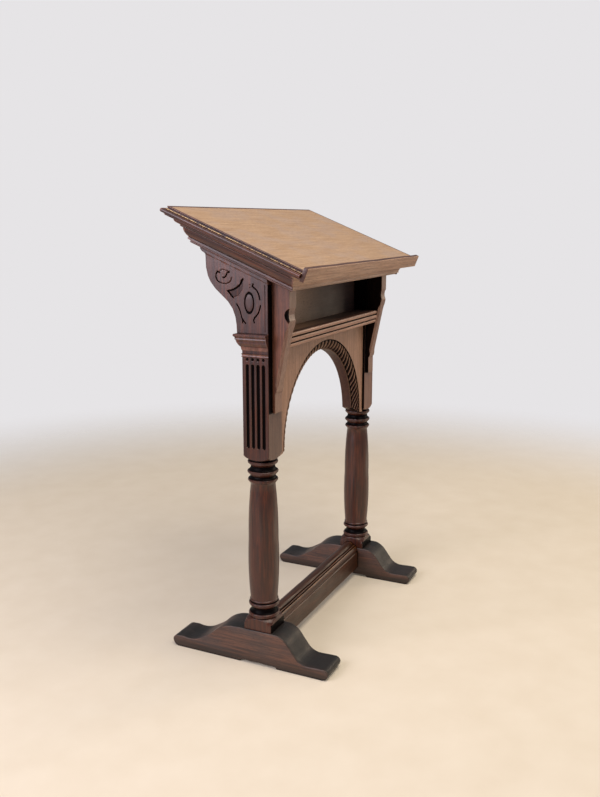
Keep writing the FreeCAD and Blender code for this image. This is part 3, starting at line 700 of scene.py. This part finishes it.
def makeCheek():
    rings, sootAndShade = [], []
    frontHeights = [h for h, _ in cheek["front"]]
    frontYs = [y for _, y in cheek["front"]]
    heights = {height for station in cheek["stations"] for height in evenSteps(*station)}
    middle = (cheek["scoopLow"] + cheek["scoopHigh"]) / 2
    reach = (cheek["scoopHigh"] - cheek["scoopLow"]) / 2
    rounding = (0, 0.25, 0.5, 0.75, 1)
    underBoard = stand["railDepth"] + gap
    for z in sorted(heights | set(frontHeights[:-1])):
        front = float(np.interp(z, frontHeights, frontYs))
        chamfer = cheek["arris"]
        if cheek["chamferLow"] < z < cheek["chamferHigh"]:
            ends = min(z - cheek["chamferLow"], cheek["chamferHigh"] - z) / cheek["chamferStop"]
            chamfer += (cheek["chamfer"] - chamfer) * math.sqrt(min(1, ends))
        bow = math.sqrt(max(0, 1 - ((z - middle) / reach) ** 2))
        onSide = max(chamfer, cheek["scoopSide"] * bow)
        onFront = max(chamfer, cheek["scoopFront"] * bow)
        inner = max(chamfer, cheek["scoopInner"] * bow)
        ring = [(-cheek["inner"], readerFace), (-cheek["outer"], readerFace),
                (-cheek["outer"], front + onSide + 0.8)]
        # painted shade: black in the inner corner and on the inner edge, and dark in the scoop
        dirtAndShade = [0.9, 0.0, 0.0]
        for part in rounding:
            inward = 2.2 * bow * math.sin(math.pi * part)
            ring.append((-cheek["outer"] + onFront * part + inward, front + onSide * (1 - part)))
            dirtAndShade.append(bow ** 0.5)
        ring += [(-cheek["outer"] + onFront + 0.8, front), (-cheek["inner"] - inner - 0.8, front)]
        dirtAndShade += [0.0, 0.0]
        for part in rounding[::-1]:
            inward = 1.2 * bow * math.sin(math.pi * part)
            ring.append((-cheek["inner"] - inner * part - inward, front + inner * (1 - part) + inward))
            dirtAndShade.append(0.9 if part == 0 else 0.9 * bow)
        rings.append([(x, y, min(z, zAtDepth(y, underBoard))) for x, y in ring])
        sootAndShade.append(dirtAndShade)
    top = [(x, y, zAtDepth(y, underBoard)) for x, y, _ in rings[-1]]
    lowestTop = min(point[2] for point in top)
    kept = [i for i, ring in enumerate(rings) if max(point[2] for point in ring) < lowestTop - 0.5]
    verts, faces = loft([rings[i] for i in kept] + [top])
    return verts, faces, [level for i in kept + [len(rings) - 1] for level in sootAndShade[i]]


addPair("cheek", makeCheek(), rubbedUpright)
print("cheeks made")

# capital and necking, mitred round two sides of the head and cut flush towards the reader
capital = {
    "section": [
        (0, 847), (0.6, 848, 0.06), (2.2, 856, 0.12), (8.6, 865.5), (9.6, 866), (9.6, 868.6),
        (10.6, 869.4, -0.25), (13.6, 876, -0.1), (13.2, 880), (13.6, 882), (15.8, 882.8), (16.6, 884),
        (16.6, 888.4), (15.8, 889), (0, 889)],
}
necking = {"section": [(0, 831), (2.2, 831.2, -0.55), (2.2, 838.8), (0, 839)]}


def makeHeadMoulding(section):
    outline = traceOutline(section)
    flush = [(-headFace - out, readerFace + 2 * gap, z) for out, z in outline]
    mitre = [(-headFace - out, audienceFace + out, z) for out, z in outline]
    inner = [(-stand["panelHalf"], audienceFace + out, z) for out, z in outline]
    return loft([flush, mitre, inner])


addPair("capital", makeHeadMoulding(capital["section"]), stainedOak)
addPair("necking", makeHeadMoulding(necking["section"]), stainedOak)
print("capitals made")

# consoles: carved boards
console = {
    "face": 369, "back": 332, "columns": 165, "rows": 178, "span": 100, "arris": 1.6, "arrisSink": 1.2,
    "sootAndShadeTop": 1013, "friezeFoot": 79, "friezeProud": 1.8,
    "edge": [
        (21, 889), (22, 911), (25, 930), (32.7, 950), (45.3, 967), (62, 981.5), (81, 998), (94, 1013.5),
        (102, 1029), (107, 1050), (108, 1081), (110, 1086), (117, 1090), (122, 1096), (122, 1104)],
    # carved lines: width, depth, then (y, z) along the cut
    "cuts": [
        (3.2, 3.4, [(67.6, 1038), (73.5, 1041), (77.5, 1035), (78.3, 1027.6), (76, 1021.7), (72.7, 1017),
                    (68, 1014.4)]),
        (2.2, 1.3, [(68, 1014.4), (60, 1011.5), (50, 1011), (41, 1014), (35, 1020), (33.5, 1026)]),
        (3.2, 3.4, [(40, 1040), (46, 1038), (48.7, 1031.5), (53, 1027), (58, 1025.5)]),
        (2.0, 1.0, [(67, 1041), (60, 1046), (50, 1045), (40, 1041)]),
        (4.0, 3.8, [(1.4, 1024), (5.5, 1019.5), (8, 1013), (13.2, 1007), (20, 1002), (28.5, 997.5),
                    (37, 995), (44.6, 993.5)]),
        (3.8, 3.8, [(45.5, 993.5), (38.6, 986.5), (33.6, 981), (29.3, 977)]),
        (3.6, 3.6, [(-24.4, 1007), (-30, 1003), (-36.8, 997), (-40.8, 990), (-43.3, 983), (-45, 975)]),
        (3.2, 3.2, [(-24.4, 1007), (-27, 1012.5)]),
        (3.6, 3.6, [(-46.3, 960), (-44.6, 952), (-41.3, 943), (-35.5, 935), (-30.5, 930.5), (-27, 924),
                    (-28.8, 918)]),
        (3.4, 3.6, [(19.7, 961.5), (14.6, 953.5), (10.4, 944.5), (7.9, 935.5), (5.4, 927.3), (0.5, 920),
                    (-4.5, 915)]),
        (3.0, 3.0, [(5.4, 927.3), (4, 920), (3.5, 915.5)]),
        (2.4, 2.4, [(-17.7, 1010.5), (-17.9, 1010)]), (2.4, 2.4, [(-17.7, 1003.5), (-17.9, 1003)]),
        (1.6, 0.8, [(-59, 1010), (-59, 896)]),
    ],
    "boss": (-15.3, 965.6, 12.5, 24.5), "bossGroove": 2.9, "bossGrooveHalf": 1.7, "bossCrown": 0.9,
    "wedgeSink": 2,
    "wedge": [(1.4, 1022), (8, 1011), (20, 1000), (44, 992), (31, 978), (14, 984), (3, 1000)],
}


def pathDistance(y, z, path):
    best = np.full(y.shape, 1e9)
    for (y0, z0), (y1, z1) in zip(path, path[1:]):
        dy, dz = y1 - y0, z1 - z0
        t = np.clip(((y - y0) * dy + (z - z0) * dz) / max(dy * dy + dz * dz, 1e-9), 0, 1)
        best = np.minimum(best, np.hypot(y - y0 - t * dy, z - z0 - t * dz))
    return best


def insidePath(y, z, path):
    inside = np.zeros(y.shape, bool)
    for (y0, z0), (y1, z1) in zip(path, path[1:] + path[:1]):
        crosses = (z0 > z) != (z1 > z)
        with np.errstate(divide="ignore", invalid="ignore"):
            at = y0 + (z - z0) * (y1 - y0) / np.where(z1 == z0, 1e-9, z1 - z0)
        inside ^= crosses & (y < at)
    return inside


def carveConsole(y, z):
    # how far the carved face stands proud (+) or is cut in (-), and where the cuts are painted dark as shade
    level = np.zeros(y.shape)
    middleY, middleZ, halfY, halfZ = console["boss"]
    outFromBoss = np.clip(np.hypot(y - middleY, (z - middleZ) / 1.55) / 10 - 2.0, 0, 1)
    ground = np.where(insidePath(y, z, console["wedge"]), -console["wedgeSink"] * outFromBoss, level)
    for width, depth, path in console["cuts"]:
        near = pathDistance(y, z, path) / (width / 2)
        level = np.minimum(level, -depth * np.sqrt(np.clip(1 - near ** 2, 0, 1)))
    ring = (np.hypot((y - middleY) / halfY, (z - middleZ) / halfZ) - 1) * halfY
    groove = np.sqrt(np.clip(1 - (ring / console["bossGrooveHalf"]) ** 2, 0, 1))
    level = np.minimum(level, -console["bossGroove"] * groove)
    dirtAndShade = np.clip(-level / 1.6, 0, 1)
    level = np.minimum(level, ground)
    crown = console["bossCrown"] * np.sqrt(np.clip(-(ring + 1.5) / 5, 0, 1))
    level = np.where(ring < -1.5, np.maximum(level, crown), level)
    return level, np.maximum(dirtAndShade, np.clip(-level / 5, 0, 1))


def makeConsole():
    edgeZ = [z for _, z in console["edge"]]
    edgeY = [y for y, _ in console["edge"]]
    u, v = np.meshgrid(np.linspace(0, 1, console["columns"] + 1), np.linspace(0, 1, console["rows"] + 1))
    y = readerFace + u * console["span"]
    low = stand["shelfTop"] + gap
    for _ in range(12):    # settle each point between the edges, which depend on each other
        top = zAtDepth(y, stand["railDepth"] + gap)
        z = low + v * (top - low)
        y = readerFace + u * (np.interp(z, edgeZ, edgeY) - readerFace)
    depth = depthUnderDesk(y, z)
    level, sootAndShade = carveConsole(y, z)
    level = level + np.clip((console["friezeFoot"] - depth) / 1.6, 0, 1) * console["friezeProud"]
    fromEdge = np.minimum(y - readerFace, np.interp(z, edgeZ, edgeY) - y)
    level = level - console["arrisSink"] * np.clip(1 - fromEdge / console["arris"], 0, 1) ** 2
    x = -(console["face"] + level)
    verts = [(float(a), float(b), float(c)) for a, b, c in zip(x.ravel(), y.ravel(), z.ravel())]
    index = np.arange(x.size).reshape(x.shape)
    corners = (index[:-1, :-1], index[:-1, 1:], index[1:, 1:], index[1:, :-1])
    faces = [tuple(int(i) for i in face) for face in zip(*(corner.ravel() for corner in corners))]
    border = list(index[0, :]) + list(index[1:, -1]) + list(index[-1, -2::-1]) + list(index[-2:0:-1, 0])
    border = [int(i) for i in border]
    base = len(verts)
    verts += [(-console["back"], verts[i][1], verts[i][2]) for i in border]
    for i in range(len(border)):
        j = (i + 1) % len(border)
        faces.append((border[i], base + i, base + j, border[j]))
    faces.append(tuple(base + i for i in range(len(border))))
    sootAndShade[:, 0] = np.clip((console["sootAndShadeTop"] - z[:, 0]) / 3, 0, 1)    # painted shade: the edge towards the reader, in the corner beside the cheek, is black
    sootAndShade = [float(value) for value in sootAndShade.ravel()]
    return verts, faces, sootAndShade + [sootAndShade[i] for i in border]


addPair("console", makeConsole(), stainedOak)
print("consoles carved")

# desk board and lip
board = {"half": 408, "front": stand["boardFront"], "back": 8, "stepX": 68}
lip = {"half": 418, "thick": 11.5, "rise": 9, "drop": 26, "arris": 1.6, "stepX": 12, "rub": 0.5}


def makeBoard():
    section = [(board["front"], 0), (board["front"], stand["boardThick"]),
               (board["back"], stand["boardThick"]), (board["back"], 0)]
    return loft([[onDesk(x, run, depth) for run, depth in section]
                 for x in evenSteps(-board["half"], board["half"], board["stepX"])])


def makeLip():
    back = board["front"] + gap
    front = back + lip["thick"]
    r = lip["arris"]
    section = [(back, lip["drop"]), (back, -lip["rise"] + r, 0.41), (back + r, -lip["rise"]),
               (front - r, -lip["rise"], 0.41), (front, -lip["rise"] + r), (front, lip["drop"] - 1, 0.3),
               (front - 1, lip["drop"])]
    rings = []
    stations = [(-lip["half"], 1.4), (-lip["half"] + 0.5, 0.5), (-lip["half"] + 1.6, 0)]
    stations += [(x, 0) for x in evenSteps(-lip["half"] + 9, lip["half"] - 9, lip["stepX"])]
    stations += [(-x, inset) for x, inset in reversed(stations[:3])]
    outline = traceOutline(section, 4)
    middleRun, middleDepth = (back + front) / 2, (lip["drop"] - lip["rise"]) / 2
    for x, inset in stations:
        ring = []
        for run, depth in outline:
            rub = lip["rub"] * math.sin(x * 0.031) * math.sin(x * 0.011 + 1) * (depth < -4)    # by hands
            run = run - inset * (run > middleRun)
            depth = depth + rub + inset * (-1 if depth > middleDepth else 1)
            ring.append(onDesk(x, run, depth))
        rings.append(ring)
    return loft(rings)


addPiece("deskBoard", makeBoard(), fadedOak, ["desk_board"])
addPiece("bookLip", makeLip(), rubbedOak, ["book_lip"])
print("desk board and lip made")

# mouldings round the board: distance out from the stand's side, depth under the board's surface
edgeMoulding = {
    "outline": [
        (38, 0), (45.6, 0), (46, 0.4), (46, 1.4, -0.3), (44.8, 4.8), (45, 5.6), (47.4, 5.8), (47.6, 7.4),
        (46.6, 7.7), (46.8, 8.5), (50, 8.4), (54.5, 8.6, 0.5), (54.5, 18.2), (49, 18.8), (48.2, 19.4),
        (48, 21), (46.6, 21.6), (46.4, 23), (38, 23)],
    "cornerRun": 46, "middleRun": 200, "gildedDepth": (5.7, 7.45), "gildedOut": (47.0, 47.65),
}
cornice = {
    "outline": [
        (38, 23.1), (39.2, 23.6), (39, 26, 0.3), (33.5, 31), (29.4, 31.4), (29, 32, 0.5), (28, 36, 0),
        (25.2, 36.6, 0.2), (14.8, 54.4), (15.6, 55), (15.8, 59.6, 0.2), (11.6, 61.2), (11.2, 62.2, 0.35),
        (10.4, 66.4), (8.4, 67)],
    "sideInner": -38, "rearInner": -12, "sideEnd": 110, "middleRun": 220,
    "fasciaFront": 374.5, "fasciaBack": 350, "fasciaEnd": 24, "fasciaBead": 57, "fasciaBeadOut": 13.6,
    "rearStart": 90, "rearRatio": 1.7,     # run of the back of the rail, and its change for each mm out
}
edgeOutline, corniceOutline = traceOutline(edgeMoulding["outline"]), traceOutline(cornice["outline"])


def corniceSection(inner):
    return corniceOutline + [(inner, stand["railDepth"]), (inner, stand["boardThick"] + gap)]


def edgeRear(out):
    return edgeMoulding["cornerRun"] - out


def corniceRear(out):
    return cornice["rearStart"] - cornice["rearRatio"] * out


def makeSideRail(outline, runsAt):
    # runsAt gives the front, middle and mitred back run of a point this far out
    return loft([[onDesk(-stand["deskSide"] - out, runsAt(out)[place], depth) for out, depth in outline]
                 for place in range(3)])


def makeRearRail(outline, runAt):
    return loft([[onDesk(side * (stand["deskSide"] + out), runAt(out), depth) for out, depth in outline]
                 for side in (-1, -0.5, 0, 0.5, 1)])


def edgeRuns(out):
    return board["front"] - gap, edgeMoulding["middleRun"], edgeRear(out)


def corniceRuns(out):
    if out < 0:
        return cornice["fasciaBack"], cornice["middleRun"], cornice["sideEnd"]
    return cornice["fasciaFront"] - gap, cornice["middleRun"], corniceRear(out)


def makeFascia():
    # a plain board; its ends are mitred behind the side mouldings, with a small bead along the foot
    rings = []
    for out, depth in corniceOutline:
        run = cornice["fasciaFront"] - (cornice["fasciaBeadOut"] - out) * (depth > cornice["fasciaBead"])
        front = stand["deskSide"] + out
        back, backRun = front - cornice["fasciaEnd"], cornice["fasciaBack"]
        corners = ((-front, run), (front, run), (back, backRun), (-back, backRun))
        rings.append([onDesk(x, cornerRun, depth) for x, cornerRun in corners])
    return loft(rings)


def gildFillet(piece):
    # the thin fillet of the edge moulding carries the gold line
    mesh = piece.data
    mesh.materials.append(gildedLine)
    lowDepth, highDepth = edgeMoulding["gildedDepth"]
    lowOut, highOut = edgeMoulding["gildedOut"]
    for face in mesh.polygons:
        x, y, z = (c * 1000 for c in face.center)
        depth = depthUnderDesk(y, z)
        run = (stand["deskBackY"] - y + slopeSin * depth) / slopeCos
        out = max(abs(x) - stand["deskSide"], edgeMoulding["cornerRun"] - run)
        if lowDepth < depth < highDepth and lowOut < out < highOut:
            face.material_index = 1


addPair("edgeMoulding", makeSideRail(edgeOutline, edgeRuns), stainedRail, "edge_moulding")
addPiece("edgeMouldingRear", makeRearRail(edgeOutline, edgeRear), stainedRearRail,
         ["edge_moulding_rear"])
for pieceName in ("edgeMouldingLeft", "edgeMouldingRight", "edgeMouldingRear"):
    gildFillet(bpy.data.objects[pieceName])
sideShape = makeSideRail(corniceSection(cornice["sideInner"]), corniceRuns)
rearShape = makeRearRail(corniceSection(cornice["rearInner"]), corniceRear)
addPair("cornice", sideShape, stainedRail)
addPiece("corniceRear", rearShape, stainedRearRail, ["cornice_rear"])
addPiece("frontFascia", makeFascia(), rubbedOak, ["front_fascia"])
print("mouldings made")

# CAD pieces that keep their own mesh
keptFinishes = {"shelf_board": darkInside, "back_board": darkInside, "rear_frieze": stainedShelf,
                "glue_blocks": bareOak, "cheek_dowels": bareOak, "lip_dowels": bareOak,
                "console_screws": steel}
for nodeName, finish in keptFinishes.items():
    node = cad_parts[nodeName]
    for materialSlot in node.material_slots:
        materialSlot.material = finish
print("kept nodes finished")

# floor, light and camera
studio = {
    "floor": "e8ddcb", "floorMottle": "ddd0bb", "fadeFrom": 1.5, "fadeTo": 3.2, "floorGlow": 0.08,
    "backdrop": "e6e4e6", "ambientTint": "f2f2f6", "ambient": 0.28, "aim": (0, 0, 0.8),
    "cameraPlace": (-2.2228, -1.0303, 1.1638), "cameraHeading": 25.31, "cameraPitch": -11.73, "lens": 38.66,
}
# place, size in metres, watts, colour
lamps = {
    "skylight": ((-0.5, -1.1, 3.6), 2.4, 92.0, "fff4e4"),
    "door": ((2.9, -1.9, 1.5), 1.2, 24.0, "ffe9cc"),
    "window": ((-2.9, 1.5, 1.9), 2.0, 80.0, "f4eefc"),
}


def makeStage():
    bpy.ops.mesh.primitive_circle_add(vertices=96, radius=studio["fadeTo"] + 0.2, fill_type="NGON")
    floor = bpy.context.object
    floor.name = "studioFloor"
    # limewashed stone: pale and matt, fading out into the backdrop
    material, tree, place = startMaterial("limewashedStone")
    distance = addNode(tree, "VectorMath", {"operation": "LENGTH", 0: place["Object"]})
    fade = addNode(tree, "MapRange", {"From Min": studio["fadeFrom"], "From Max": studio["fadeTo"],
                   "interpolation_type": "SMOOTHSTEP", "Value": distance.outputs["Value"]})
    mottle = addNode(tree, "TexNoise", {"Scale": 9.0, "Detail": 5.0, "Vector": place["Object"]})
    tone = addNode(tree, "Mix", {"data_type": "RGBA", 0: mottle.outputs["Fac"],
                   6: linearColour(studio["floor"]), 7: linearColour(studio["floorMottle"])}).outputs[2]
    shader = addNode(tree, "BsdfPrincipled", {"Roughness": 0.8, "Base Color": tone,
                     "Emission Color": tone, "Emission Strength": studio["floorGlow"]})
    clear = addNode(tree, "BsdfTransparent")
    mixed = addNode(tree, "MixShader", {0: fade.outputs["Result"], 1: shader.outputs["BSDF"],
                    2: clear.outputs["BSDF"]})
    addNode(tree, "OutputMaterial", {"Surface": mixed.outputs["Shader"]})
    floor.data.materials.append(material)

    world = bpy.data.worlds.new("paleRoom")
    bpy.context.scene.world = world
    world.use_nodes = True
    tree = world.node_tree
    tree.nodes.clear()
    seen = addNode(tree, "Background", {"Color": linearColour(studio["backdrop"]), "Strength": 1.0})
    lit = addNode(tree, "Background", {"Color": linearColour(studio["ambientTint"]),
                  "Strength": studio["ambient"]})
    path = addNode(tree, "LightPath")
    both = addNode(tree, "MixShader", {0: path.outputs["Is Camera Ray"], 1: lit.outputs["Background"],
                   2: seen.outputs["Background"]})
    addNode(tree, "OutputWorld", {"Surface": both.outputs["Shader"]})

    for lampName, (spot, size, watts, tint) in lamps.items():
        lamp = bpy.data.lights.new(lampName, "AREA")
        lamp.size = size
        lamp.energy = watts
        lamp.color = linearColour(tint)[:3]
        holder = bpy.data.objects.new(lampName, lamp)
        bpy.context.scene.collection.objects.link(holder)
        holder.location = spot
        aim = Vector(studio["aim"]) - Vector(spot)
        holder.rotation_euler = aim.to_track_quat("-Z", "Y").to_euler()


def makeCamera():
    camera = bpy.data.objects.new("camera", bpy.data.cameras.new("camera"))
    bpy.context.scene.collection.objects.link(camera)
    camera.location = studio["cameraPlace"]
    heading, pitch = math.radians(studio["cameraHeading"]), math.radians(studio["cameraPitch"])
    look = Vector((math.cos(heading) * math.cos(pitch), math.sin(heading) * math.cos(pitch), math.sin(pitch)))
    camera.rotation_euler = look.to_track_quat("-Z", "Y").to_euler()
    camera.data.lens = studio["lens"]
    camera.data.sensor_width = 36.0
    camera.data.clip_start = 0.05
    bpy.context.scene.camera = camera


makeStage()
makeCamera()
bpy.context.scene.view_settings.view_transform = "Standard"
print("stage ready")
